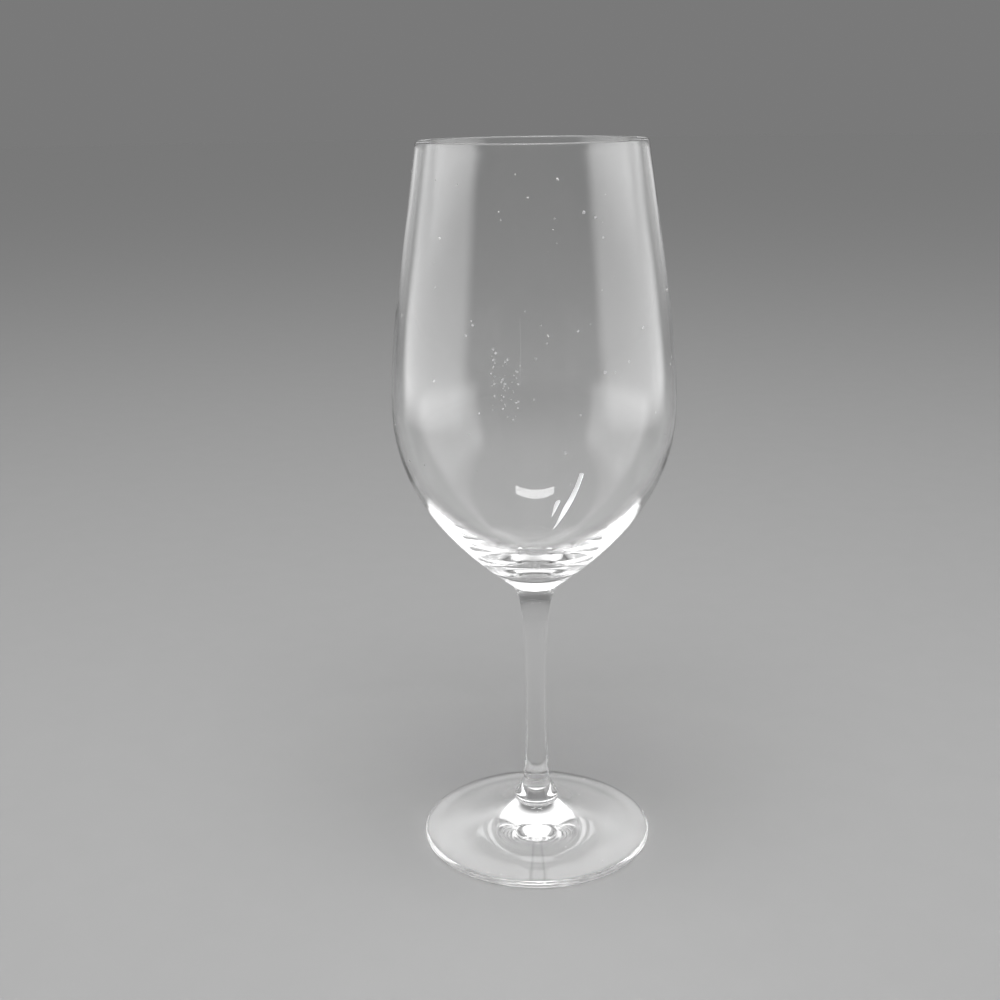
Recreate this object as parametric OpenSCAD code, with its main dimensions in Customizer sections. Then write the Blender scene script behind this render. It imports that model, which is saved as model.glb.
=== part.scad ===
// Large stemmed wine glass in clear glass, standing on its foot, with a slanting crack in the
// lower wall of the bowl. It is one piece of glass, so it is one solid.
// The frame's origin is the centre of the foot's resting ring, and +Z runs up the stem.
// Lengths are in millimetres and angles in degrees.

/* [Foot] */
// Diameter of the foot
foot_d = 79.8; // [62:0.2:110]
// Height of the foot's rounded edge
foot_edge_h = 2.6; // [1.6:0.1:4]
// How far the edge's rounding reaches in from the widest line
foot_edge_round = 1.4; // [0.6:0.1:2.5]
// Width of the flat ring that the glass rests on
rest_ring_w = 2.6; // [1.5:0.1:5]
// Rise of the hollow underside at its centre
foot_hollow_h = 2; // [0.5:0.1:4]
// Height at which the foot's sweep meets the button
foot_crown_h = 12.4; // [10:0.1:18]

/* [Button] */
// Diameter of the neck under the button, where the foot's sweep ends
button_neck_d = 13.8; // [12:0.1:18]
// Pull of the button's curve out past its neck
button_bulge = 2.4; // [0.5:0.1:4]
// Height of the button from its neck to the joint groove
button_h = 8.2; // [5:0.1:14]
// Height of the joint groove above the button
groove_w = 0.9; // [0.3:0.1:1.5]
// Depth of the joint groove
groove_depth = 0.5; // [0.1:0.05:0.8]

/* [Stem] */
// Diameter of the stem where it stands on the joint groove
stem_root_d = 9; // [7.5:0.1:13]
// Diameter of the stem at its slimmest place
stem_d = 6.8; // [4:0.1:7.4]
// Length of the stem's lower stretch, from the groove to the slimmest place
stem_root_len = 26.5; // [18:0.1:45]
// Length of the stem's upper stretch, from the slimmest place to the shoulder ring
stem_top_len = 45.5; // [35:0.1:80]

/* [Bowl] */
// Diameter of the shoulder ring, where the bowl starts
shoulder_d = 15.7; // [12:0.1:22]
// Slope of the bowl's wall at the shoulder ring, above level
shoulder_slope = 37.5; // [25:0.5:50]
// Largest diameter of the bowl
belly_d = 92.9; // [76:0.2:115]
// Height of the largest diameter above the shoulder ring
belly_h = 62.8; // [48:0.1:80]
// Diameter of the rim
rim_d = 72.8; // [55:0.2:92]
// Lean of the wall at the rim, inwards from upright
rim_lean = 8; // [0:0.1:15]
// Height of the bowl from the shoulder ring to the rim
bowl_h = 146.5; // [110:0.1:180]

/* [Wall] */
// Thickness of the wall at the rim
rim_wall = 1.1; // [0.8:0.1:2]
// Thickness of the wall at the largest diameter
belly_wall = 1.3; // [0.8:0.1:2.5]
// Thickness of the glass under the middle of the bowl, down to the level of the shoulder ring
base_wall = 8.5; // [5:0.1:14]

/* [Crack] */
// Opening of the cracks
crack_gap = 0.12; // [0.05:0.01:0.4]
// Slant of the cracks through the wall, away from square to it
crack_slant = 30; // [20:1:60]
// Lean of the cracks along the wall, away from the bowl's up-and-down line
crack_lean = 20; // [0:1:45]
// Length of the long crack
long_crack_len = 22; // [8:0.5:30]
// Direction of the long crack's middle, counter-clockwise from +X
long_crack_bearing = -75; // [-180:1:180]
// Place of the long crack's middle up the lower wall, from 0 at the shoulder to 1 at the belly
long_crack_place = 0.68; // [0.4:0.01:0.8]
// Length of the short crack beside it
short_crack_len = 6.5; // [3:0.5:15]
// Direction of the short crack's middle
short_crack_bearing = -81; // [-180:1:180]
// Place of the short crack's middle up the lower wall
short_crack_place = 0.66; // [0.4:0.01:0.8]

/* [Hidden] */
$fn = 96;

// Straight pieces in each curve
curve_steps = 24;
short_curve_steps = 10;

// Where each curve is pulled to between its two ends, as shares of its run in radius and height
foot_edge_pull = [0.55, 0.15];
foot_sweep_pull = [0.86, 0.62];
button_neck_rise = 0.2;
button_dome_pull = [0.55, 0.72];
stem_root_pull = [0.1, 0.12];
stem_slim_pull = [0.9, 0.35];
stem_straight_pull = [0, 0.88];
stem_flare_pull = [0.54, 0.92];

// Share of a stretch for which each end of the bowl's curves holds its own direction
shoulder_hold = 0.635;
belly_hold_below = 0.404;
belly_hold_above = 0.3;
rim_hold = 0.32;
bottom_hold = 0.6;

// How the lower wall thickens: its growth at the shoulder as a share of the base's thickness,
// and the power that it fades by towards the belly
wall_growth = 0.55;
wall_fade = 2.5;
// Share of the way up the lower wall where the inside's rounded bottom takes over
bottom_joins = 0.2;
// Step along a curve that gives its direction
small_share = 0.01;

// Levels, from the resting ring up
neck_z = foot_crown_h;
groove_z = neck_z + button_h;
stem_root_z = groove_z + groove_w;
stem_slim_z = stem_root_z + stem_root_len;
shoulder_z = stem_slim_z + stem_top_len;
belly_z = shoulder_z + belly_h;
glass_h = shoulder_z + bowl_h;
rim_z = glass_h - rim_wall / 2;
inner_base_z = shoulder_z + base_wall;

// Radii
foot_r = foot_d / 2;
neck_r = button_neck_d / 2;
stem_root_r = stem_root_d / 2;
stem_r = stem_d / 2;
shoulder_r = shoulder_d / 2;
belly_r = belly_d / 2;
rim_r = rim_d / 2;
rest_out_r = foot_r - foot_edge_round;
rest_in_r = rest_out_r - rest_ring_w;

// A point at share t along a cubic curve, and the curve's direction there
function on_curve(p, t) =
    (1 - t)^3 * p[0] + 3 * t * (1 - t)^2 * p[1] + 3 * t^2 * (1 - t) * p[2] + t^3 * p[3];
function along_curve(p, t) =
    (1 - t)^2 * (p[1] - p[0]) + 2 * t * (1 - t) * (p[2] - p[1]) + t^2 * (p[3] - p[2]);

// The points of a curve, without its last one, which starts the next curve
function curve(p, steps) = [for (i = [0 : steps - 1]) on_curve(p, i / steps)];

// The place at given shares of the run and the rise from one point to another
function between(from, to, shares) =
    [for (k = [0 : 1]) from[k] + shares[k] * (to[k] - from[k])];

// A cubic curve from one point to another, pulled to two such places
function pulled(from, first, second, to) =
    [from, between(from, to, first), between(from, to, second), to];

// The hollow underside, from the axis out to the resting ring
function underside() = [
    for (i = [0 : short_curve_steps])
        let (r = rest_in_r * i / short_curve_steps)
            [r, foot_hollow_h * (1 - (r / rest_in_r)^2)]
];

// The foot's rounded edge, from the resting ring up to the top of the foot
function foot_edge() = [
    for (i = [0 : short_curve_steps - 1])
        let (a = -90 + 180 * i / short_curve_steps)
            [rest_out_r + foot_edge_round * cos(a), foot_edge_h / 2 * (1 + sin(a))]
];

// The top of the foot, nearly level at the edge and sweeping up to the button's neck
foot_top = pulled([rest_out_r, foot_edge_h], foot_edge_pull, foot_sweep_pull, [neck_r, neck_z]);

// The button, bulging out over its neck and doming in to the joint groove
button_top = [stem_root_r, groove_z];
button = [
    [neck_r, neck_z],
    [neck_r + button_bulge, neck_z + button_neck_rise * button_h],
    between([neck_r, neck_z], button_top, button_dome_pull),
    button_top
];

// The joint groove between the button and the stem
groove = [
    button_top,
    [stem_root_r - groove_depth, groove_z + groove_w / 2]
];

// The stem's lower stretch, tucking in from the groove to the slimmest place
stem_root = pulled([stem_root_r, stem_root_z], stem_root_pull, stem_slim_pull, [stem_r, stem_slim_z]);

// The stem's upper stretch, straight for most of it and flaring to the shoulder ring
stem_top = pulled([stem_r, stem_slim_z], stem_straight_pull, stem_flare_pull, [shoulder_r, shoulder_z]);

// The outside of the bowl below the belly
lower_hold = shoulder_hold * (belly_r - shoulder_r);
outer_below = [
    [shoulder_r, shoulder_z],
    [shoulder_r + lower_hold, shoulder_z + lower_hold * tan(shoulder_slope)],
    [belly_r, belly_z - belly_hold_below * belly_h],
    [belly_r, belly_z]
];

// The bowl's surface above the belly, at belly_w in from the outside there and rim_w at the rim
upper_h = rim_z - belly_z;
lean_r = min(belly_r, rim_r + rim_hold * upper_h * tan(rim_lean));
function wall_above(belly_w, rim_w) = [
    [belly_r - belly_w, belly_z],
    [belly_r - belly_w, belly_z + belly_hold_above * upper_h],
    [lean_r - (belly_w + rim_w) / 2, rim_z - rim_hold * upper_h],
    [rim_r - rim_w, rim_z]
];

// Thickness of the wall at share t up the lower wall
function lower_wall(t) = belly_wall + wall_growth * base_wall * (1 - t)^wall_fade;

// The inside of the bowl at share t up the lower wall, square in from the outside
function inner_point(t) =
    let (climb = along_curve(outer_below, t), square_in = [-climb[1], climb[0]] / norm(climb))
        on_curve(outer_below, t) + lower_wall(t) * square_in;

// The inside below the belly, down to where the rounded bottom takes over
inner_below = [
    for (i = [1 : curve_steps - 1])
        inner_point(1 - (1 - bottom_joins) * i / curve_steps)
];

// The rounded bottom, from that join in to the axis. It leaves along the line that the wall
// comes down on, which meets the bottom's own level after bottom_run.
join = inner_point(bottom_joins);
join_next = inner_point(bottom_joins + small_share);
join_dir = (join_next - join) / norm(join_next - join);
bottom_run = (join[1] - inner_base_z) / join_dir[1];
inner_bottom = [
    join,
    join - bottom_hold * bottom_run * join_dir,
    [bottom_hold * (join[0] - bottom_run * join_dir[0]), inner_base_z],
    [0, inner_base_z]
];

// The rounded rim, from the outside of the wall over to the inside
function rim_round() = [
    for (i = [0 : short_curve_steps])
        let (a = 180 * i / short_curve_steps)
            [rim_r - rim_wall / 2 * (1 - cos(a)), rim_z + rim_wall / 2 * sin(a)]
];

// A list from its end to its start
function reversed(list) = [for (i = [len(list) - 1 : -1 : 0]) list[i]];

// Half of the glass's section, in radius and height
glass_section = concat(
    underside(),
    foot_edge(),
    curve(foot_top, curve_steps),
    curve(button, short_curve_steps),
    groove,
    curve(stem_root, curve_steps),
    curve(stem_top, curve_steps),
    curve(outer_below, curve_steps),
    curve(wall_above(0, 0), curve_steps),
    rim_round(),
    reversed(curve(wall_above(belly_wall, rim_wall), curve_steps)),
    inner_below,
    curve(inner_bottom, short_curve_steps),
    [[0, inner_base_z]]
);

// Most that a crack runs in along its slant, enough to come out inside the bowl
crack_reach = 3.6;
// Most that a crack runs in, as a share of its own length
crack_reach_share = 0.25;
// Share of a crack's length at which it is deepest
crack_deepest = 0.7;
// How far a crack's blade stands out of the wall
crack_clear = 4;
// Radius that the lower wall bends to, up and down
wall_bend_r = 52;

// Depth of a crack at share u of its length, from nothing at its ends to 1 where it is deepest
function crack_depth(u) =
    u < crack_deepest
        ? u / crack_deepest
        : sqrt(max(0, 1 - ((u - crack_deepest) / (1 - crack_deepest))^2));

// The thin blade that a crack takes out of the glass, with its length along Z and the wall's
// outside at X = 0 in its middle
module crack_blade(length) {
    ends = length / 2;
    reach = min(crack_reach, crack_reach_share * length);
    inner_line = [
        for (i = [0 : short_curve_steps])
            let (u = i / short_curve_steps, z = (u - 0.5) * length)
                [-z^2 / (2 * wall_bend_r) - reach * crack_depth(u), z]
    ];
    rotate([90, 0, 0])
        linear_extrude(height = crack_gap, center = true)
            polygon(concat([[crack_clear, ends], [crack_clear, -ends]], inner_line));
}

// A crack in the lower wall of the bowl, its middle at share place up the wall's curve
module crack(bearing, place, length) {
    middle = on_curve(outer_below, place);
    climb = along_curve(outer_below, place);
    wall_tilt = atan2(climb[0], climb[1]);
    rotate([0, 0, bearing])
        translate([middle[0], 0, middle[1]])
            rotate([0, wall_tilt, 0])
                rotate([-crack_lean, 0, 0])
                    rotate([0, 0, crack_slant])
                        crack_blade(length);
}

module glass() {
    color([0.88, 0.92, 0.93, 0.4])
        difference() {
            rotate_extrude()
                polygon(glass_section);
            crack(long_crack_bearing, long_crack_place, long_crack_len);
            crack(short_crack_bearing, short_crack_place, short_crack_len);
        }
}

glass();
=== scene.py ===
"""A large cracked wine glass in clear glass, with the dried drops and the dust on it.

The glass is one mesh: its section, turned about the stem, with two thin cracks cut into the lower
wall of the bowl. Lengths are in metres, +Z runs up the stem, and the glass stands on z = 0.
"""

import math
import random
from typing import NamedTuple

import bmesh
import bpy
from bpy.props import FloatProperty, FloatVectorProperty, IntProperty, PointerProperty
from mathutils import Matrix, Vector, noise


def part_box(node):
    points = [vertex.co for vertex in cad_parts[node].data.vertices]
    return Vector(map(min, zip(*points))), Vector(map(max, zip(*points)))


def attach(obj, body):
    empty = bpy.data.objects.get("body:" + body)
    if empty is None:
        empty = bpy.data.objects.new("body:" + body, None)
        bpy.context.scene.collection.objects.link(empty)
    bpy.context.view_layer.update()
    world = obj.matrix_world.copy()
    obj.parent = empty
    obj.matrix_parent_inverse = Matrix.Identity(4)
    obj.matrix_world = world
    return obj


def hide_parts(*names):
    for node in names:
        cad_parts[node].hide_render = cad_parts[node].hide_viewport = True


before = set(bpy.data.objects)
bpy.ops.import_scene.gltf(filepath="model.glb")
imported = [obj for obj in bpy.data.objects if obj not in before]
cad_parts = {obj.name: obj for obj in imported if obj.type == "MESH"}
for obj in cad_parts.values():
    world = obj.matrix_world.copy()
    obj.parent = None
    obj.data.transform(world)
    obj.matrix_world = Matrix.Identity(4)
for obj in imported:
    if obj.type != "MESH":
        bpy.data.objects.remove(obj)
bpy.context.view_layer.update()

bl_info = {
    "name": "Cracked wine glass",
    "version": (1, 0, 0),
    "blender": (4, 5, 0),
    "location": "View3D > Sidebar > Wine Glass",
    "description": "Makes a cracked wine glass and the plain stage that it stands on",
    "category": "Add Mesh",
}

MM = 0.001
NODE = "glass"
BODY = "root"

glass_low, glass_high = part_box(NODE)


# ---------------------------------------------------------------- sizes and colours


def length(name, description, default):
    """A property that holds a length, its default in millimetres."""
    return FloatProperty(
        name=name,
        description=description,
        default=default * MM,
        min=0.0,
        precision=5,
        unit="LENGTH",
    )


def angle(name, description, default):
    """A property that holds an angle, its default in degrees."""
    return FloatProperty(
        name=name, description=description, default=math.radians(default), subtype="ANGLE"
    )


def share(name, description, default):
    """A property that holds a share from 0 to 1."""
    return FloatProperty(
        name=name, description=description, default=default, min=0.0, max=1.0, subtype="FACTOR"
    )


def number(name, description, default, lowest=0):
    """A property that holds a whole number."""
    return IntProperty(name=name, description=description, default=default, min=lowest)


def colour(name, description, default):
    """A property that holds a linear colour."""
    return FloatVectorProperty(
        name=name, description=description, default=default, size=3, min=0.0, max=1.0, subtype="COLOR"
    )


class GlassSizes(bpy.types.PropertyGroup):
    """Sizes of the whole glass. The height and the widest place come from the frame."""

    glass_h: length("Height", "Height of the whole glass", (glass_high[2] - glass_low[2]) / MM)
    belly_d: length("Belly", "Largest diameter of the bowl", (glass_high[0] - glass_low[0]) / MM)
    foot_d: length("Foot", "Diameter of the foot", 79.8)
    foot_edge_h: length("Foot edge", "Height of the foot's rounded edge", 2.6)
    foot_edge_round: length("Edge rounding", "How far the foot's edge is rounded in", 1.4)
    rest_ring_w: length("Resting ring", "Width of the flat ring that the glass rests on", 2.6)
    foot_hollow_h: length("Hollow", "Rise of the hollow underside at its centre", 2.0)
    foot_crown_h: length("Foot crown", "Height at which the foot's sweep meets the button", 12.4)
    button_neck_d: length("Button neck", "Diameter of the neck under the button", 13.8)
    button_bulge: length("Button bulge", "Pull of the button's curve out past its neck", 2.4)
    button_h: length("Button", "Height of the button from its neck to the joint groove", 8.2)
    groove_w: length("Groove", "Height of the joint groove above the button", 0.9)
    groove_depth: length("Groove depth", "Depth of the joint groove", 0.5)
    stem_root_d: length("Stem root", "Diameter of the stem on the joint groove", 9.0)
    stem_d: length("Stem", "Diameter of the stem at its slimmest place", 6.8)
    stem_root_len: length("Lower stem", "Length of the stem from the groove to its slimmest place", 26.5)
    stem_top_len: length("Upper stem", "Length of the stem from its slimmest place up", 45.5)
    shoulder_d: length("Shoulder", "Diameter of the shoulder ring, where the bowl starts", 15.7)
    shoulder_slope: angle("Shoulder slope", "Slope of the bowl's wall at the shoulder ring", 37.5)
    belly_h: length("Belly height", "Height of the belly above the shoulder ring", 62.8)
    rim_d: length("Rim", "Diameter of the rim", 72.8)
    rim_lean: angle("Rim lean", "Lean of the wall at the rim, inwards from upright", 8.0)
    rim_wall: length("Rim wall", "Thickness of the wall at the rim", 1.1)
    belly_wall: length("Belly wall", "Thickness of the wall at the belly", 1.3)
    base_wall: length("Base wall", "Thickness of the glass under the middle of the bowl", 8.5)
    turns: number("Turns", "Steps round the glass", 256, lowest=32)


class CrackSettings(bpy.types.PropertyGroup):
    """What both cracks share, and the length and the place of each."""

    gap: length("Gap", "Opening of the cracks", 0.12)
    slant: angle("Slant", "Slant of the cracks through the wall, away from square to it", 30.0)
    lean: angle("Lean", "Lean of the cracks along the wall", 20.0)
    ripple: length("Ripple", "Height of the ripples on the broken faces", 0.05)
    long_len: length("Long crack", "Length of the long crack", 22.0)
    long_bearing: angle("Its bearing", "Direction of its middle, counter-clockwise from +X", -75.0)
    long_place: share("Its place", "Place of its middle, from 0 at the shoulder to 1 at the belly", 0.68)
    short_len: length("Short crack", "Length of the short crack", 6.5)
    short_bearing: angle("Its bearing", "Direction of its middle, counter-clockwise from +X", -81.0)
    short_place: share("Its place", "Place of its middle, from 0 at the shoulder to 1 at the belly", 0.66)


class DirtSettings(bpy.types.PropertyGroup):
    """How much dirt there is on the glass."""

    drops: number("Drops", "Dried drops over the whole bowl", 46)
    streaks: number("Streaks", "Runs of dried drops in the front patch", 3)
    specks: number("Specks", "Loose dust specks over the whole glass", 46)
    speck_size: length("Speck size", "Usual length of a dust speck", 0.5)
    drop_size: length("Drop size", "Usual diameter of a dried drop", 0.9)
    seed: number("Seed", "Start of the random places", 7)


class FinishSettings(bpy.types.PropertyGroup):
    """Colours of the glass and the dirt."""

    glass: colour("Glass", "Colour of the clean glass", (1.0, 1.0, 1.0))
    film: colour("Film", "Colour of the glass under a dried film", (0.965, 0.97, 0.97))
    crack: colour("Crack", "Colour of the broken faces", (0.95, 0.96, 0.97))
    # Strength of the painted glow on the broken faces, an emission in place of light that the wall carries
    # to them
    crack_painted_glow: share("Crack glow", "Light that the clear wall carries to the broken faces", 0.5)
    drop: colour("Dried drop", "Colour of the dried drops", (0.80, 0.81, 0.82))
    dust: colour("Dust", "Colour of the dust", (0.82, 0.81, 0.78))
    ior: FloatProperty(name="IOR", description="Index of refraction of the glass", default=1.52)


class StageSettings(bpy.types.PropertyGroup):
    """The floor, the studio's light from all round, and the camera."""

    floor: colour("Floor", "Colour of the floor", (0.42, 0.42, 0.42))
    horizon: colour("Horizon", "Colour of the studio at eye level", (0.192, 0.192, 0.192))
    ceiling: colour("Ceiling", "Colour of the studio overhead", (0.5, 0.5, 0.5))
    lens: length("Lens", "Focal length of the camera", 49.48)
    camera_back: length("Camera distance", "How far the camera is in front of the stem", 440.95)
    camera_up: length("Camera height", "Height of the camera above the floor", 253.86)
    pitch: angle("Pitch", "How far the camera looks down", 16.489)
    yaw: angle("Yaw", "How far the camera turns to the right", -1.502)
    roll: angle("Roll", "How far the camera rolls", -0.826)


class WineGlassSettings(bpy.types.PropertyGroup):
    """Everything that a user would change."""

    sizes: PointerProperty(type=GlassSizes)
    cracks: PointerProperty(type=CrackSettings)
    dirt: PointerProperty(type=DirtSettings)
    finish: PointerProperty(type=FinishSettings)
    stage: PointerProperty(type=StageSettings)


# ---------------------------------------------------------------- the glass's section

# Halvings in a search along a curve
HALVINGS = 30


def on_curve(curve, t):
    """The point at share t along a cubic curve."""
    a, b, c, d = curve
    u = 1 - t
    return u**3 * a + 3 * t * u**2 * b + 3 * t**2 * u * c + t**3 * d


def along_curve(curve, t):
    """The direction of a cubic curve at share t."""
    a, b, c, d = curve
    u = 1 - t
    return (u**2 * (b - a) + 2 * t * u * (c - b) + t**2 * (d - c)).normalized()


def share_up_to(curve, is_before):
    """The share of a curve up to which its points pass a test."""
    low, high = 0.0, 1.0
    for _ in range(HALVINGS):
        middle = (low + high) / 2
        low, high = (middle, high) if is_before(on_curve(curve, middle)) else (low, middle)
    return low


def between(start, end, shares):
    """The place at given shares of the run and the rise from one point to another."""
    return Vector(s + k * (e - s) for s, e, k in zip(start, end, shares))


def pulled(start, first, second, end):
    """A cubic curve between two points, pulled to two places given as shares."""
    return (start, between(start, end, first), between(start, end, second), end)


class Section:
    """Half of the glass's section, in radius and height, worked out from the sizes."""

    # Where each curve is pulled to between its two ends, as shares of its run and its rise
    EDGE_PULL, SWEEP_PULL = (0.55, 0.15), (0.86, 0.62)
    NECK_RISE, DOME_PULL = 0.2, (0.55, 0.72)
    ROOT_PULL, SLIM_PULL = (0.1, 0.12), (0.9, 0.35)
    STRAIGHT_PULL, FLARE_PULL = (0, 0.88), (0.54, 0.92)
    # Share of a stretch for which each end of the bowl's curves holds its own direction
    SHOULDER_HOLD, BELLY_HOLD_BELOW, BELLY_HOLD_ABOVE, RIM_HOLD = 0.635, 0.404, 0.3, 0.32
    # The same for the inside's rounded bottom, and where it takes over from the lower wall
    BOTTOM_HOLD, BOTTOM_JOINS = 0.6, 0.2
    # How the lower wall thickens: as a share of the base's thickness, and the power it fades by
    WALL_GROWTH, WALL_FADE = 0.55, 2.5
    # Step along a curve that gives its direction
    SMALL_SHARE = 0.01
    LONG_STEPS, SHORT_STEPS, GROOVE_STEPS = 36, 16, 3

    def __init__(self, sizes):
        self.sizes = sizes
        self.neck_z = sizes.foot_crown_h
        self.groove_z = self.neck_z + sizes.button_h
        self.root_z = self.groove_z + sizes.groove_w
        self.slim_z = self.root_z + sizes.stem_root_len
        self.shoulder_z = self.slim_z + sizes.stem_top_len
        self.belly_z = self.shoulder_z + sizes.belly_h
        self.rim_z = sizes.glass_h - sizes.rim_wall / 2
        self.bottom_z = self.shoulder_z + sizes.base_wall
        self.belly_r = sizes.belly_d / 2
        self.rim_r = sizes.rim_d / 2
        self.rest_out_r = sizes.foot_d / 2 - sizes.foot_edge_round
        self.rest_in_r = self.rest_out_r - sizes.rest_ring_w
        self.below = self.outer_below()
        self.above = self.wall_above(0, 0)

    def underside(self):
        """The hollow underside, from the axis out to the resting ring."""
        for step in range(self.SHORT_STEPS + 1):
            part = step / self.SHORT_STEPS
            yield Vector((self.rest_in_r * part, self.sizes.foot_hollow_h * (1 - part**2)))

    def foot_edge(self):
        """The foot's rounded edge, from the resting ring up to the top of the foot."""
        for step in range(self.SHORT_STEPS):
            turn = math.pi * (step / self.SHORT_STEPS - 0.5)
            out = self.rest_out_r + self.sizes.foot_edge_round * math.cos(turn)
            yield Vector((out, self.sizes.foot_edge_h / 2 * (1 + math.sin(turn))))

    def stem_curves(self):
        """The curves from the foot's edge up to the shoulder ring, each with its steps."""
        sizes = self.sizes
        neck = Vector((sizes.button_neck_d / 2, self.neck_z))
        groove = Vector((sizes.stem_root_d / 2, self.groove_z))
        root = Vector((sizes.stem_root_d / 2, self.root_z))
        slim = Vector((sizes.stem_d / 2, self.slim_z))
        edge = Vector((self.rest_out_r, sizes.foot_edge_h))
        bulge = neck + Vector((sizes.button_bulge, self.NECK_RISE * sizes.button_h))
        hollow = (groove + root) / 2 - Vector((sizes.groove_depth, 0))
        yield pulled(edge, self.EDGE_PULL, self.SWEEP_PULL, neck), self.LONG_STEPS
        yield (neck, bulge, between(neck, groove, self.DOME_PULL), groove), self.SHORT_STEPS
        yield (groove, groove.lerp(hollow, 0.5), hollow, hollow), self.GROOVE_STEPS
        yield (hollow, hollow, root.lerp(hollow, 0.5), root), self.GROOVE_STEPS
        yield pulled(root, self.ROOT_PULL, self.SLIM_PULL, slim), self.SHORT_STEPS
        yield pulled(slim, self.STRAIGHT_PULL, self.FLARE_PULL, self.below[0]), self.LONG_STEPS

    def outer_below(self):
        """The outside of the bowl from the shoulder ring up to the belly."""
        sizes = self.sizes
        shoulder = Vector((sizes.shoulder_d / 2, self.shoulder_z))
        hold = self.SHOULDER_HOLD * (self.belly_r - shoulder.x)
        leave = shoulder + hold * Vector((1, math.tan(sizes.shoulder_slope)))
        reach = Vector((self.belly_r, self.belly_z - self.BELLY_HOLD_BELOW * sizes.belly_h))
        return shoulder, leave, reach, Vector((self.belly_r, self.belly_z))

    def wall_above(self, belly_w, rim_w):
        """The bowl's surface above the belly, belly_w in from the outside there and rim_w at the rim."""
        upper_h = self.rim_z - self.belly_z
        lean_r = self.rim_r + self.RIM_HOLD * upper_h * math.tan(self.sizes.rim_lean)
        lean_r = min(self.belly_r, lean_r) - (belly_w + rim_w) / 2
        return (
            Vector((self.belly_r - belly_w, self.belly_z)),
            Vector((self.belly_r - belly_w, self.belly_z + self.BELLY_HOLD_ABOVE * upper_h)),
            Vector((lean_r, self.rim_z - self.RIM_HOLD * upper_h)),
            Vector((self.rim_r - rim_w, self.rim_z)),
        )

    def lower_wall(self, t):
        """Thickness of the wall at share t up the lower wall."""
        growth = self.WALL_GROWTH * self.sizes.base_wall
        return self.sizes.belly_wall + growth * (1 - t) ** self.WALL_FADE

    def inner_point(self, t):
        """The inside of the bowl at share t up the lower wall, square in from the outside."""
        climb = along_curve(self.below, t)
        return on_curve(self.below, t) + self.lower_wall(t) * Vector((-climb.y, climb.x))

    def inner_bottom(self):
        """The rounded bottom of the inside, from its join with the wall in to the axis."""
        join = self.inner_point(self.BOTTOM_JOINS)
        climb = (self.inner_point(self.BOTTOM_JOINS + self.SMALL_SHARE) - join).normalized()
        run = (join.y - self.bottom_z) / climb.y
        meets_r = join.x - run * climb.x
        return (
            join,
            join - self.BOTTOM_HOLD * run * climb,
            Vector((self.BOTTOM_HOLD * meets_r, self.bottom_z)),
            Vector((0, self.bottom_z)),
        )

    def rim_round(self):
        """The rounded rim, from the outside of the wall over to the inside."""
        half = self.sizes.rim_wall / 2
        for step in range(self.SHORT_STEPS + 1):
            turn = math.pi * step / self.SHORT_STEPS
            yield Vector((self.rim_r - half * (1 - math.cos(turn)), self.rim_z + half * math.sin(turn)))

    def points(self):
        """All points of the section, from the axis underneath, up the outside and down the inside."""
        long, short = self.LONG_STEPS, self.SHORT_STEPS
        section = list(self.underside()) + list(self.foot_edge())
        outside = [*self.stem_curves(), (self.below, long), (self.above, long)]
        for curve, steps in outside:
            section += [on_curve(curve, step / steps) for step in range(steps)]
        section += self.rim_round()
        inside = self.wall_above(self.sizes.belly_wall, self.sizes.rim_wall)
        section += [on_curve(inside, 1 - step / long) for step in range(1, long + 1)]
        fall = (1 - self.BOTTOM_JOINS) / long
        section += [self.inner_point(1 - fall * step) for step in range(1, long)]
        section += [on_curve(self.inner_bottom(), step / short) for step in range(short + 1)]
        return section

    def wall_frame(self, turn, z):
        """A place on the outside of the bowl: X points out of the wall and Z up along it."""
        curve = self.below if z < self.belly_z else self.above
        t = share_up_to(curve, lambda point: point.y < z)
        return surface_frame(turn, on_curve(curve, t).x, z, along_curve(curve, t))

    def foot_frame(self, turn, radius):
        """A place on top of the foot: X points up out of the glass and Z in along it."""
        curve, _ = next(self.stem_curves())
        t = share_up_to(curve, lambda point: point.x > radius)
        return surface_frame(turn, radius, on_curve(curve, t).y, along_curve(curve, t))


def surface_frame(turn, radius, height, climb):
    """A place on the turned surface: X points out of it and Z along it, the way the section climbs."""
    place = Matrix.Translation((radius * math.cos(turn), radius * math.sin(turn), height))
    lean = math.atan2(climb.x, climb.y)
    return place @ Matrix.Rotation(turn, 4, "Z") @ Matrix.Rotation(lean, 4, "Y")


# ---------------------------------------------------------------- meshes


def finished_mesh(bm, name):
    """The mesh that was built, under its name."""
    mesh = bpy.data.meshes.new(name)
    bm.to_mesh(mesh)
    bm.free()
    return mesh


def new_object(name, mesh, materials):
    """A new object in the scene with the given mesh and materials."""
    for material in materials:
        mesh.materials.append(material)
    made = bpy.data.objects.new(name, mesh)
    bpy.context.scene.collection.objects.link(made)
    return made


def smooth(mesh, sharp_above):
    """Shades a mesh smooth, but for the edges that bend by more than sharp_above."""
    mesh.shade_smooth()
    mesh.set_sharp_from_angle(angle=sharp_above)


def ring(bm, radius, height, turns):
    """The points of a level ring round the axis."""
    angles = [math.tau * turn / turns for turn in range(turns)]
    return [bm.verts.new((radius * math.cos(a), radius * math.sin(a), height)) for a in angles]


def turned_mesh(name, section, turns):
    """A closed mesh made by turning a section that starts and ends on the axis."""
    bm = bmesh.new()
    bottom = bm.verts.new((0, 0, section[0].y))
    top = bm.verts.new((0, 0, section[-1].y))
    rings = [ring(bm, point.x, point.y, turns) for point in section[1:-1]]
    for turn in range(turns):
        after = (turn + 1) % turns
        bm.faces.new((bottom, rings[0][after], rings[0][turn]))
        bm.faces.new((top, rings[-1][turn], rings[-1][after]))
        for lower, upper in zip(rings, rings[1:]):
            bm.faces.new((lower[turn], lower[after], upper[after], upper[turn]))
    return finished_mesh(bm, name)


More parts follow.
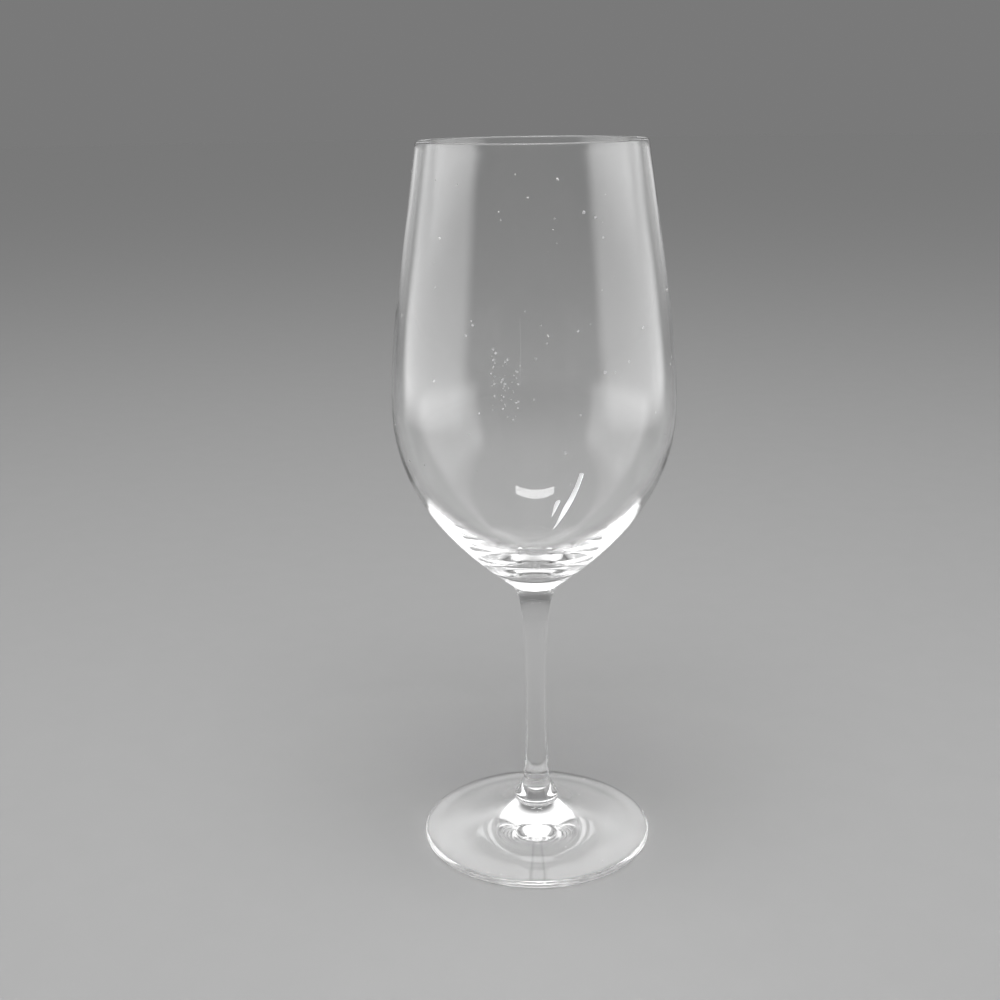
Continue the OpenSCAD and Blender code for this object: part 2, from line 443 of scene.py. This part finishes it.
class Crack:
    """One crack: its place in the wall, and the thin rippled blade that cuts it."""

    # How deep it goes at most, and as a share of its length
    REACH, REACH_SHARE = 3.6 * MM, 0.25
    # Share of its length where it is deepest, and how far the blade stands out of the wall
    DEEPEST, CLEAR = 0.7, 4 * MM
    # Radius of the lower wall's bend
    WALL_BEND_R = 52 * MM
    # Ripples: arcs by their share and their turn for each millimetre, swells by their share and size
    ARC_SHARE, ARC_TURN, SWELL_SHARE, SWELL_SIZE = 0.35, 3.1, 1.6, 2.5 * MM
    ROWS, COLUMNS = 72, 20

    def __init__(self, section, settings, full_len, bearing, place):
        self.section, self.settings = section, settings
        self.full_len, self.bearing, self.place = full_len, bearing, place

    def depth(self, u):
        """Depth at share u of the length, from 0 at the ends to 1 where it is deepest."""
        if u < self.DEEPEST:
            return u / self.DEEPEST
        return math.sqrt(max(0.0, 1 - ((u - self.DEEPEST) / (1 - self.DEEPEST)) ** 2))

    def inner_edge(self, u):
        """How far in the blade reaches at share u of the length, from the wall's outside."""
        z = (u - 0.5) * self.full_len
        reach = min(self.REACH, self.REACH_SHARE * self.full_len)
        return -(z**2) / (2 * self.WALL_BEND_R) - reach * self.depth(u)

    def ripple(self, x, z):
        """How far the broken face stands off its plane: arcs that spread from the crack's lower end."""
        far = math.hypot(x, z + self.full_len / 2) / MM
        swell = noise.noise(Vector((x, 0, z)) / self.SWELL_SIZE)
        height = self.ARC_SHARE * math.sin(self.ARC_TURN * far) + self.SWELL_SHARE * swell
        return self.settings.ripple * height

    def placement(self):
        """Where the blade goes: its length up the wall, its depth slanting in."""
        middle = on_curve(self.section.below, self.place)
        climb = along_curve(self.section.below, self.place)
        return (
            Matrix.Rotation(self.bearing, 4, "Z")
            @ Matrix.Translation((middle.x, 0, middle.y))
            @ Matrix.Rotation(math.atan2(climb.x, climb.y), 4, "Y")
            @ Matrix.Rotation(-self.settings.lean, 4, "X")
            @ Matrix.Rotation(self.settings.slant, 4, "Z")
        )

    def blade(self, name, material):
        """The blade, as an object in its place."""
        bm = bmesh.new()
        half_gap = self.settings.gap / 2
        sheets = {}
        for side in (-1, 1):
            for row in range(self.ROWS + 1):
                u = row / self.ROWS
                z = (u - 0.5) * self.full_len
                edge = self.inner_edge(u)
                for column in range(self.COLUMNS + 1):
                    x = edge + (self.CLEAR - edge) * column / self.COLUMNS
                    y = side * half_gap + self.ripple(x, z)
                    sheets[side, row, column] = bm.verts.new((x, y, z))
        for row in range(self.ROWS):
            for column in range(self.COLUMNS):
                corners = ((row, column), (row, column + 1), (row + 1, column + 1), (row + 1, column))
                bm.faces.new([sheets[-1, r, c] for r, c in corners])
                bm.faces.new([sheets[1, r, c] for r, c in reversed(corners)])
        border = [(0, c) for c in range(self.COLUMNS)]
        border += [(r, self.COLUMNS) for r in range(self.ROWS)]
        border += [(self.ROWS, c) for c in range(self.COLUMNS, 0, -1)]
        border += [(r, 0) for r in range(self.ROWS, 0, -1)]
        for here, after in zip(border, border[1:] + border[:1]):
            bm.faces.new(
                (sheets[-1, *after], sheets[-1, *here], sheets[1, *here], sheets[1, *after])
            )
        bmesh.ops.recalc_face_normals(bm, faces=bm.faces)
        made = new_object(name, finished_mesh(bm, name), [material])
        made.matrix_world = self.placement()
        return made


def cut(body, blades):
    """Cuts the blades out of the body and leaves the result as its mesh."""
    for blade in blades:
        step = body.modifiers.new(blade.name, "BOOLEAN")
        step.operation = "DIFFERENCE"
        step.solver = "EXACT"
        step.material_mode = "TRANSFER"
        step.object = blade
    bpy.context.view_layer.update()
    evaluated = body.evaluated_get(bpy.context.evaluated_depsgraph_get())
    mesh = bpy.data.meshes.new_from_object(evaluated)
    old = body.data
    body.modifiers.clear()
    body.data = mesh
    bpy.data.meshes.remove(old)
    for blade in blades:
        used = blade.data
        bpy.data.objects.remove(blade)
        bpy.data.meshes.remove(used)
    drop_spare_points(mesh)


def drop_spare_points(mesh):
    """Takes out the points that lie on one edge between two faces, which the faces don't need."""
    bm = bmesh.new()
    bm.from_mesh(mesh)
    bmesh.ops.dissolve_verts(bm, verts=[vert for vert in bm.verts if len(vert.link_edges) == 2])
    bm.to_mesh(mesh)
    bm.free()


# A drop's rings, from its edge in: share of its radius and share of its height
DROP_RINGS = ((1.0, 0.0), (0.94, 0.85), (0.8, 1.0), (0.5, 0.55), (0.22, 0.45))
# Points round a drop, how uneven its outline is, and its gap to the wall
DROP_AROUND, DROP_WOBBLE, DROP_LIFT = 14, 0.16, 0.004 * MM


def add_drop(bm, place, radius, height, draw):
    """A dried drop: a low dome with an uneven outline and a raised edge, on the wall."""
    wobble = [1 + DROP_WOBBLE * draw.uniform(-1, 1) for _ in range(DROP_AROUND)]
    rings = []
    for out, up in DROP_RINGS:
        points = []
        for step in range(DROP_AROUND):
            turn = math.tau * step / DROP_AROUND
            r = radius * out * wobble[step]
            at = Vector((DROP_LIFT + height * up, r * math.cos(turn), r * math.sin(turn)))
            points.append(bm.verts.new(place @ at))
        rings.append(points)
    for lower, upper in zip(rings, rings[1:]):
        for step in range(DROP_AROUND):
            after = (step + 1) % DROP_AROUND
            bm.faces.new((lower[step], lower[after], upper[after], upper[step]))
    bm.faces.new(rings[-1])
    bm.faces.new(reversed(rings[0]))


# How crumpled a speck is, how closely its crumples follow each other, and how far out of the
# wall its middle stands, as a share of its thickness
SPECK_CRUMPLE, SPECK_DETAIL, SPECK_LIFT = 0.7, 2.2, 0.45


def add_speck(bm, place, size, draw):
    """A dust speck: a small crumpled flake, size being its thickness, width and length."""
    made = bmesh.ops.create_icosphere(bm, subdivisions=2, radius=0.5)["verts"]
    crumple = Vector((draw.uniform(0, 50), 0, 0))
    for vert in made:
        stir = 1 + SPECK_CRUMPLE * noise.noise(vert.co * SPECK_DETAIL + crumple)
        at = Vector(c * s * stir for c, s in zip(vert.co, size))
        at.x += SPECK_LIFT * size[0]
        vert.co = place @ at


# ---------------------------------------------------------------- node groups and materials


def put(tree, value, socket):
    """Links a socket to an input, or sets the input to a value."""
    if isinstance(value, bpy.types.NodeSocket):
        tree.links.new(value, socket)
    else:
        socket.default_value = value


def node(tree, kind, settings=None, **values):
    """A new node, with its own settings, and values for its inputs, or sockets to link to them."""
    made = tree.nodes.new(kind)
    for name, value in (settings or {}).items():
        setattr(made, name, value)
    for name, value in values.items():
        put(tree, value, made.inputs[name.replace("_", " ")])
    return made


def new_group(name, inputs, output):
    """A node group with float inputs, given with their defaults, and one float output."""
    tree = bpy.data.node_groups.new(name, "ShaderNodeTree")
    for label, default in inputs.items():
        socket = tree.interface.new_socket(label, in_out="INPUT", socket_type="NodeSocketFloat")
        socket.default_value = default
    tree.interface.new_socket(output, in_out="OUTPUT", socket_type="NodeSocketFloat")
    return tree, tree.nodes.new("NodeGroupInput").outputs, tree.nodes.new("NodeGroupOutput").inputs


def scaled_noise(tree, scale, detail, stretch=(1, 1, 1)):
    """Noise over the piece's own coordinates, at a scale given as a socket or a number."""
    where = node(tree, "ShaderNodeTexCoord").outputs["Object"]
    stretched = node(tree, "ShaderNodeMapping", Vector=where, Scale=stretch).outputs["Vector"]
    return node(tree, "ShaderNodeTexNoise", Vector=stretched, Scale=scale, Detail=detail).outputs["Fac"]


def ramp(tree, value, start, end, low=0.0, high=1.0):
    """A value spread from start..end onto low..high, softly."""
    spread = node(tree, "ShaderNodeMapRange", {"interpolation_type": "SMOOTHSTEP"}, Value=value)
    for label, limit in (("From Min", start), ("From Max", end), ("To Min", low), ("To Max", high)):
        put(tree, limit, spread.inputs[label])
    return spread.outputs["Result"]


def maths(tree, operation, first, second):
    """Two values or numbers put together."""
    made = node(tree, "ShaderNodeMath", {"operation": operation})
    put(tree, first, made.inputs[0])
    put(tree, second, made.inputs[1])
    return made.outputs[0]


def mixed_colour(tree, mask, first, second):
    """A colour that goes from first to second with the mask."""
    made = node(tree, "ShaderNodeMix", {"data_type": "RGBA"})
    tree.links.new(mask, made.inputs["Factor"])
    colours = [s for s in made.inputs if s.type == "RGBA"]
    for socket, value in zip(colours, (first, second)):
        socket.default_value = (*value, 1)
    return next(s for s in made.outputs if s.type == "RGBA")


def bump(tree, height, distance, strength=1.0):
    """A normal bent by a height that changes over the surface."""
    made = node(tree, "ShaderNodeBump", Height=height, Distance=distance, Strength=strength)
    return made.outputs["Normal"]


def film_group():
    """Patches of dried water on the glass, from 0 where it is clean to 1."""
    tree, given, out = new_group("dried_film", {"Scale": 60.0, "Clean": 0.52}, "Mask")
    patches = scaled_noise(tree, given["Scale"], detail=3.0, stretch=(1, 1, 0.35))
    grains = scaled_noise(tree, 1400.0, detail=2.0)
    full = maths(tree, "ADD", given["Clean"], 0.22)
    patch = ramp(tree, patches, given["Clean"], full)
    broken = ramp(tree, grains, 0.35, 0.65, low=0.35)
    tree.links.new(maths(tree, "MULTIPLY", patch, broken), out["Mask"])
    return tree


def grain_group():
    """Fine uneven grain, from 0 to 1."""
    tree, given, out = new_group("fine_grain", {"Scale": 3000.0}, "Value")
    tree.links.new(scaled_noise(tree, given["Scale"], detail=5.0), out["Value"])
    return tree


def film_mask(tree, scale, clean):
    """The film group placed in a material: patches of a size, over what is left clean."""
    group = bpy.data.node_groups.get("dried_film") or film_group()
    return node(tree, "ShaderNodeGroup", {"node_tree": group}, Scale=scale, Clean=clean).outputs["Mask"]


def grain_value(tree, scale):
    """The grain group placed in a material, at its own scale."""
    group = bpy.data.node_groups.get("fine_grain") or grain_group()
    return node(tree, "ShaderNodeGroup", {"node_tree": group}, Scale=scale).outputs["Value"]


def new_material(name):
    """A new node material and its surface shader, which is joined to the output."""
    material = bpy.data.materials.new(name)
    material.use_nodes = True
    tree = material.node_tree
    tree.nodes.clear()
    shader = tree.nodes.new("ShaderNodeBsdfPrincipled")
    output = tree.nodes.new("ShaderNodeOutputMaterial")
    tree.links.new(shader.outputs["BSDF"], output.inputs["Surface"])
    return material, tree, shader.inputs


def clear_glass_material(finish):
    """Polished clear glass: faintly wavy, as blown glass is, and dulled where water has dried."""
    material, tree, surface = new_material("clear_glass")
    link = tree.links.new
    mask = film_mask(tree, scale=48.0, clean=0.5)
    wave = scaled_noise(tree, 38.0, detail=1.0, stretch=(1, 1, 0.6))
    link(mixed_colour(tree, mask, finish.glass, finish.film), surface["Base Color"])
    link(ramp(tree, mask, 0.0, 1.0, high=0.07), surface["Roughness"])
    link(bump(tree, wave, distance=0.25 * MM), surface["Normal"])
    surface["Transmission Weight"].default_value = 1.0
    surface["IOR"].default_value = finish.ior
    return material


def crack_material(finish):
    """Broken faces: whitish and uneven.

    They are bright because the clear wall carries light to them from all sides. Their faint
    glow is painted light, an emission that stands in for that light.
    """
    material, tree, surface = new_material("broken_glass")
    link = tree.links.new
    value = grain_value(tree, scale=900.0)
    tone = mixed_colour(tree, value, finish.crack, (1, 1, 1))
    link(tone, surface["Base Color"])
    # Painted glow: the broken faces emit light in their own colour, in place of light carried to them by
    # the wall
    link(tone, surface["Emission Color"])
    link(ramp(tree, value, 0.3, 0.7, low=0.3, high=0.55), surface["Roughness"])
    link(bump(tree, value, distance=0.05 * MM, strength=0.5), surface["Normal"])
    surface["Emission Strength"].default_value = finish.crack_painted_glow
    surface["Specular IOR Level"].default_value = 0.0
    return material


def drop_material(finish):
    """Dried drops: a thin chalky film that lets the glass show through."""
    material, tree, surface = new_material("dried_drop")
    link = tree.links.new
    value = grain_value(tree, scale=2600.0)
    link(mixed_colour(tree, value, finish.drop, (1, 1, 1)), surface["Base Color"])
    link(ramp(tree, value, 0.3, 0.7, low=0.35, high=0.7), surface["Roughness"])
    link(ramp(tree, value, 0.35, 0.65, low=0.2, high=0.75), surface["Alpha"])
    return material


def dust_material(finish):
    """Dust: pale and dull, lighter in places."""
    material, tree, surface = new_material("dust")
    link = tree.links.new
    value = grain_value(tree, scale=4000.0)
    link(mixed_colour(tree, value, finish.dust, (1, 1, 1)), surface["Base Color"])
    link(ramp(tree, value, 0.3, 0.7, low=0.7, high=0.95), surface["Roughness"])
    link(bump(tree, value, distance=0.03 * MM), surface["Normal"])
    return material


def floor_material(stage):
    """The plain pale floor: matt, and very slightly uneven in tone."""
    material, tree, surface = new_material("pale_floor")
    lighter = [min(1.0, c * 1.04) for c in stage.floor]
    tone = mixed_colour(tree, grain_value(tree, scale=60.0), stage.floor, lighter)
    tree.links.new(tone, surface["Base Color"])
    surface["Roughness"].default_value = 0.85
    surface["Specular IOR Level"].default_value = 0.0
    return material


# ---------------------------------------------------------------- operators


class WINE_GLASS_OT_glass(bpy.types.Operator):
    """Make the glass, with its cracks cut into the lower wall of the bowl"""

    bl_idname = "wine_glass.glass"
    bl_label = "Glass"

    SHARP_ABOVE = math.radians(20)

    def execute(self, context):
        settings = context.scene.wine_glass
        section, cracks = Section(settings.sizes), settings.cracks
        clear, broken = clear_glass_material(settings.finish), crack_material(settings.finish)
        mesh = turned_mesh("wine_glass", section.points(), settings.sizes.turns)
        piece = new_object("wine_glass", mesh, [clear])
        long = Crack(section, cracks, cracks.long_len, cracks.long_bearing, cracks.long_place)
        short = Crack(section, cracks, cracks.short_len, cracks.short_bearing, cracks.short_place)
        cut(piece, [long.blade("long_crack", broken), short.blade("short_crack", broken)])
        smooth(piece.data, self.SHARP_ABOVE)
        if len(piece.data.materials) != 2:
            raise RuntimeError("the cracks did not cut into the glass")
        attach(piece, BODY)
        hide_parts(NODE)
        return {"FINISHED"}


class WINE_GLASS_OT_drops(bpy.types.Operator):
    """Put the dried drops on the outside of the bowl"""

    bl_idname = "wine_glass.drops"
    bl_label = "Dried drops"

    SHARP_ABOVE = math.radians(50)
    HEIGHT = 0.02 * MM
    # Loose drops: how far they stay above the shoulder and under the rim, where they are
    # thickest, and their radius over the usual diameter
    LOWEST, HIGHEST, THICKEST, RADIUS = 20 * MM, 8 * MM, 165 * MM, (0.25, 0.6)
    # The front patch: its bearing, its top, and the angle between its runs
    PATCH_BEARING, PATCH_TOP, PATCH_STEP = math.radians(-101), 181 * MM, math.radians(4.2)
    # Its runs: how far under its top one starts, its length, its sway in degrees, the radius of
    # its drops (least, most and usual), its gaps, and how much a gap varies
    RUN_STARTS, RUN_LEN, RUN_SWAY, RUN_RADIUS = (0, 7), (9, 20), 0.7, (0.12, 0.5, 0.2)
    RUN_GAPS, GAP_VARIES = (0.5, 0.8, 1.1, 2.4), (0.6, 1.4)

    def execute(self, context):
        settings = context.scene.wine_glass
        section, dirt = Section(settings.sizes), settings.dirt
        draw = random.Random(dirt.seed)
        bm = bmesh.new()
        for _ in range(dirt.drops):
            turn = draw.uniform(0, math.tau)
            lowest, highest = section.shoulder_z + self.LOWEST, section.rim_z - self.HIGHEST
            z = draw.triangular(lowest, highest, self.THICKEST)
            radius = dirt.drop_size * draw.uniform(*self.RADIUS)
            add_drop(bm, section.wall_frame(turn, z), radius, self.HEIGHT, draw)
        for run in range(dirt.streaks):
            turn = self.PATCH_BEARING + self.PATCH_STEP * (run - (dirt.streaks - 1) / 2)
            z = self.PATCH_TOP - draw.uniform(*self.RUN_STARTS) * MM
            low = z - draw.uniform(*self.RUN_LEN) * MM
            while z > low:
                sway = math.radians(draw.gauss(0, self.RUN_SWAY))
                radius = dirt.drop_size * draw.triangular(*self.RUN_RADIUS)
                add_drop(bm, section.wall_frame(turn + sway, z), radius, self.HEIGHT, draw)
                z -= draw.choice(self.RUN_GAPS) * draw.uniform(*self.GAP_VARIES) * MM
        mesh = finished_mesh(bm, "dried_drops")
        piece = new_object("dried_drops", mesh, [drop_material(settings.finish)])
        smooth(piece.data, self.SHARP_ABOVE)
        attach(piece, BODY)
        return {"FINISHED"}


class WINE_GLASS_OT_dust(bpy.types.Operator):
    """Put the dust specks on the bowl and the foot"""

    bl_idname = "wine_glass.dust"
    bl_label = "Dust"

    SHARP_ABOVE = math.radians(60)
    # The specks that stand out: bearing in degrees, height in millimetres, and length over the usual
    BOWL_SPECKS = (
        (-139, 229.5, 1.1),
        (-125, 228.5, 1.2),
        (-97.5, 231.5, 1.2),
        (-92, 225, 1.5),
        (-79, 230, 1.7),
        (-81.5, 216, 1.0),
        (-104.5, 221, 1.0),
        (-84.5, 186, 1.8),
        (-16, 194.5, 1.6),
    )
    # The same on the foot: bearing, distance from the axis and length
    FOOT_SPECKS = (
        (-12, 25, 1.4),
        (43, 21.5, 1.2),
        (-65, 23.5, 1.6),
        (-50.5, 35, 1.8),
        (-116, 37.5, 1.5),
        (-109, 37, 1.3),
        (60, 36.5, 1.6),
    )
    # Loose specks: their length over the usual, how far they stay above the shoulder and under
    # the rim, and their least and most distance from the axis on the foot. One in three is there.
    LOOSE_LEN, LOWEST, HIGHEST, ON_FOOT, FOOT_SHARE = (0.35, 0.9), 12 * MM, 6 * MM, (16, 37), 3
    # Thickness and width over the length
    THICKNESS, WIDTH = 0.3, (0.4, 0.8)

    def execute(self, context):
        settings = context.scene.wine_glass
        section, dirt = Section(settings.sizes), settings.dirt
        draw = random.Random(dirt.seed + 1)
        bm = bmesh.new()

        def flake(place, scale):
            spin = Matrix.Rotation(draw.uniform(0, math.pi), 4, "X")
            size = dirt.speck_size * scale * Vector((self.THICKNESS, draw.uniform(*self.WIDTH), 1))
            add_speck(bm, place @ spin, size, draw)

        for bearing, height, scale in self.BOWL_SPECKS:
            flake(section.wall_frame(math.radians(bearing), height * MM), scale)
        for bearing, radius, scale in self.FOOT_SPECKS:
            flake(section.foot_frame(math.radians(bearing), radius * MM), scale)
        lowest, highest = section.shoulder_z + self.LOWEST, section.rim_z - self.HIGHEST
        for count in range(dirt.specks):
            turn = draw.uniform(0, math.tau)
            scale = draw.uniform(*self.LOOSE_LEN)
            if count % self.FOOT_SHARE:
                flake(section.wall_frame(turn, draw.uniform(lowest, highest)), scale)
            else:
                flake(section.foot_frame(turn, draw.uniform(*self.ON_FOOT) * MM), scale)
        mesh = finished_mesh(bm, "dust_specks")
        piece = new_object("dust_specks", mesh, [dust_material(settings.finish)])
        smooth(piece.data, self.SHARP_ABOVE)
        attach(piece, BODY)
        return {"FINISHED"}


class Lamp(NamedTuple):
    """A rectangular soft lamp that fades to its edges."""

    # Direction from the stem, in degrees round from the camera's side
    bearing: float
    distance: float
    height: float
    # Height of the place on the stem's axis that it faces
    aim: float
    width: float
    length: float
    radiance: float
    # Share of its width and its length over which it fades to each edge
    fade: float


class WINE_GLASS_OT_stage(bpy.types.Operator):
    """Make the floor, the lamps, the light from all round and the camera"""

    bl_idname = "wine_glass.stage"
    bl_label = "Stage"

    # The radii of the floor's rings, its steps round, and its gap to the glass
    FLOOR_RINGS, FLOOR_TURNS, FLOOR_DROP = (0.3, 1.0, 3.0, 8.0), 96, 0.15 * MM
    # These are what glass and gloss show
    SHOWN_LAMPS = {
        "left_softbox": Lamp(-88, 0.5, 0.25, 0.25, 0.84, 0.50, 1.8, 0.2),
        "right_softbox": Lamp(88, 0.5, 0.25, 0.25, 0.84, 0.50, 1.8, 0.2),
        "left_edge_softbox": Lamp(-142, 0.6, 0.34, 0.24, 0.50, 0.50, 0.5, 0.3),
        "right_edge_softbox": Lamp(142, 0.6, 0.34, 0.24, 0.50, 0.50, 0.5, 0.3),
        "back_softbox": Lamp(180, 0.62, 0.66, 0.10, 1.20, 1.00, 1.4, 0.3),
        "front_softbox": Lamp(0, 0.26, 1.02, 0.12, 0.58, 0.09, 15.0, 0.06),
    }
    # This one lights what is dull
    DULL_LAMPS = {"overhead_softbox": Lamp(0, 0.35, 1.25, 0.10, 1.50, 1.30, 4.6, 0.35)}
    # Surfaces of one wall of the glass
    WALL_SURFACES = 2
    # Heights above the horizon between which the studio brightens, as the sine of the angle
    DOME_LOW, DOME_HIGH = 0.12, 0.7
    LIGHT_STEPS = 48
    # The camera's sensor in millimetres, and the nearest thing that it sees in metres
    SENSOR_W, NEAREST = 36, 0.01

    def execute(self, context):
        stage = context.scene.wine_glass.stage
        self.floor(stage)
        for name, lamp in self.SHOWN_LAMPS.items():
            self.place_lamp(name, lamp, shown=True)
        for name, lamp in self.DULL_LAMPS.items():
            self.place_lamp(name, lamp, shown=False)
        self.world(context.scene, stage)
        self.camera(context.scene, stage)
        self.light_paths(context.scene)
        context.scene.view_settings.view_transform = "Standard"
        return {"FINISHED"}

    def floor(self, stage):
        """The plain floor, a wide disc just under the glass."""
        bm = bmesh.new()
        middle = bm.verts.new((0, 0, -self.FLOOR_DROP))
        rings = [ring(bm, radius, -self.FLOOR_DROP, self.FLOOR_TURNS) for radius in self.FLOOR_RINGS]
        for turn in range(self.FLOOR_TURNS):
            after = (turn + 1) % self.FLOOR_TURNS
            bm.faces.new((middle, rings[0][turn], rings[0][after]))
            for inner, outer in zip(rings, rings[1:]):
                bm.faces.new((inner[turn], outer[turn], outer[after], inner[after]))
        mesh = finished_mesh(bm, "floor")
        new_object("floor", mesh, [floor_material(stage)])

    def light_paths(self, scene):
        """Lets light run its whole way inside the thick glass, and through it to the floor."""
        scene.cycles.max_bounces = self.LIGHT_STEPS
        scene.cycles.transmission_bounces = self.LIGHT_STEPS
        scene.cycles.glossy_bounces = self.LIGHT_STEPS
        scene.cycles.blur_glossy = 0.0

    def place_lamp(self, name, lamp, shown):
        """One lamp, which the camera itself doesn't see.

        A shown lamp is seen in glass and gloss, and lights dull surfaces only through glass. The
        others light dull surfaces alone.
        """
        data = bpy.data.lights.new(name, "AREA")
        data.shape = "RECTANGLE"
        data.size, data.size_y = lamp.width, lamp.length
        data.energy = lamp.radiance * math.pi * lamp.width * lamp.length
        data.use_nodes = True
        tree = data.node_tree
        place = node(tree, "ShaderNodeNewGeometry").outputs["Parametric"]
        across = node(tree, "ShaderNodeSeparateXYZ", Vector=place).outputs
        edges = [ramp(tree, maths(tree, "PINGPONG", across[axis], 0.5), 0.0, lamp.fade) for axis in (0, 1)]
        glow = maths(tree, "MULTIPLY", *edges)
        if shown:
            glow = maths(tree, "MULTIPLY", glow, self.not_straight_through(tree))
        tree.links.new(glow, tree.nodes["Emission"].inputs["Strength"])
        turn = math.radians(lamp.bearing)
        at = Vector((lamp.distance * math.sin(turn), -lamp.distance * math.cos(turn), lamp.height))
        made = bpy.data.objects.new(name, data)
        made.location = at
        made.rotation_mode = "QUATERNION"
        made.rotation_quaternion = (Vector((0, 0, lamp.aim)) - at).to_track_quat("-Z", "Y")
        made.visible_camera = False
        made.visible_diffuse = not shown
        made.visible_glossy = made.visible_transmission = shown
        bpy.context.scene.collection.objects.link(made)

    def not_straight_through(self, tree):
        """0 for light that went straight through a wall, neither mirrored nor scattered, and else 1."""
        path = node(tree, "ShaderNodeLightPath").outputs
        through = maths(tree, "GREATER_THAN", path["Transmission Depth"], self.WALL_SURFACES - 0.5)
        turned = maths(tree, "ADD", path["Glossy Depth"], path["Diffuse Depth"])
        straight = maths(tree, "LESS_THAN", turned, 0.5)
        return maths(tree, "SUBTRACT", 1.0, maths(tree, "MULTIPLY", through, straight))

    def world(self, scene, stage):
        """Soft light from all round: grey at eye level and brighter overhead."""
        world = bpy.data.worlds.new("studio")
        world.use_nodes = True
        tree = world.node_tree
        way = node(tree, "ShaderNodeTexCoord").outputs["Generated"]
        upward = node(tree, "ShaderNodeSeparateXYZ", Vector=way).outputs["Z"]
        height = ramp(tree, upward, self.DOME_LOW, self.DOME_HIGH)
        light = mixed_colour(tree, height, stage.horizon, stage.ceiling)
        tree.links.new(light, tree.nodes["Background"].inputs["Color"])
        scene.world = world

    def camera(self, scene, stage):
        """The camera, in front of the glass and looking down on it."""
        data = bpy.data.cameras.new("camera")
        data.sensor_width = self.SENSOR_W
        data.lens = stage.lens / MM
        data.clip_start = self.NEAREST
        ahead = Vector(
            (
                math.sin(stage.yaw) * math.cos(stage.pitch),
                math.cos(stage.yaw) * math.cos(stage.pitch),
                -math.sin(stage.pitch),
            )
        )
        level = Vector((math.cos(stage.yaw), -math.sin(stage.yaw), 0))
        above = level.cross(ahead)
        right = math.cos(stage.roll) * level + math.sin(stage.roll) * above
        up = math.cos(stage.roll) * above - math.sin(stage.roll) * level
        turn = Matrix((right, up, -ahead)).transposed()
        made = bpy.data.objects.new("camera", data)
        place = Matrix.Translation((0, -stage.camera_back, stage.camera_up))
        made.matrix_world = place @ turn.to_4x4()
        scene.collection.objects.link(made)
        scene.camera = made


class WINE_GLASS_PT_panel(bpy.types.Panel):
    """The wine glass's pieces, in the sidebar"""

    bl_label = "Cracked wine glass"
    bl_idname = "WINE_GLASS_PT_panel"
    bl_space_type = "VIEW_3D"
    bl_region_type = "UI"
    bl_category = "Wine Glass"

    def draw(self, context):
        settings = context.scene.wine_glass
        for operator in OPERATORS:
            self.layout.operator(operator.bl_idname)
        for part in (settings.sizes, settings.cracks, settings.dirt, settings.finish, settings.stage):
            column = self.layout.column()
            for name in part.__annotations__:
                column.prop(part, name)


OPERATORS = (WINE_GLASS_OT_glass, WINE_GLASS_OT_drops, WINE_GLASS_OT_dust, WINE_GLASS_OT_stage)
CLASSES = (
    GlassSizes,
    CrackSettings,
    DirtSettings,
    FinishSettings,
    StageSettings,
    WineGlassSettings,
    *OPERATORS,
    WINE_GLASS_PT_panel,
)


def register():
    for each in CLASSES:
        bpy.utils.register_class(each)
    bpy.types.Scene.wine_glass = PointerProperty(type=WineGlassSettings)


def unregister():
    del bpy.types.Scene.wine_glass
    for each in reversed(CLASSES):
        bpy.utils.unregister_class(each)


def main():
    """Registers the classes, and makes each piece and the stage."""
    register()
    bpy.ops.wine_glass.glass()
    bpy.ops.wine_glass.drops()
    bpy.ops.wine_glass.dust()
    bpy.ops.wine_glass.stage()


if __name__ == "__main__":
    main()
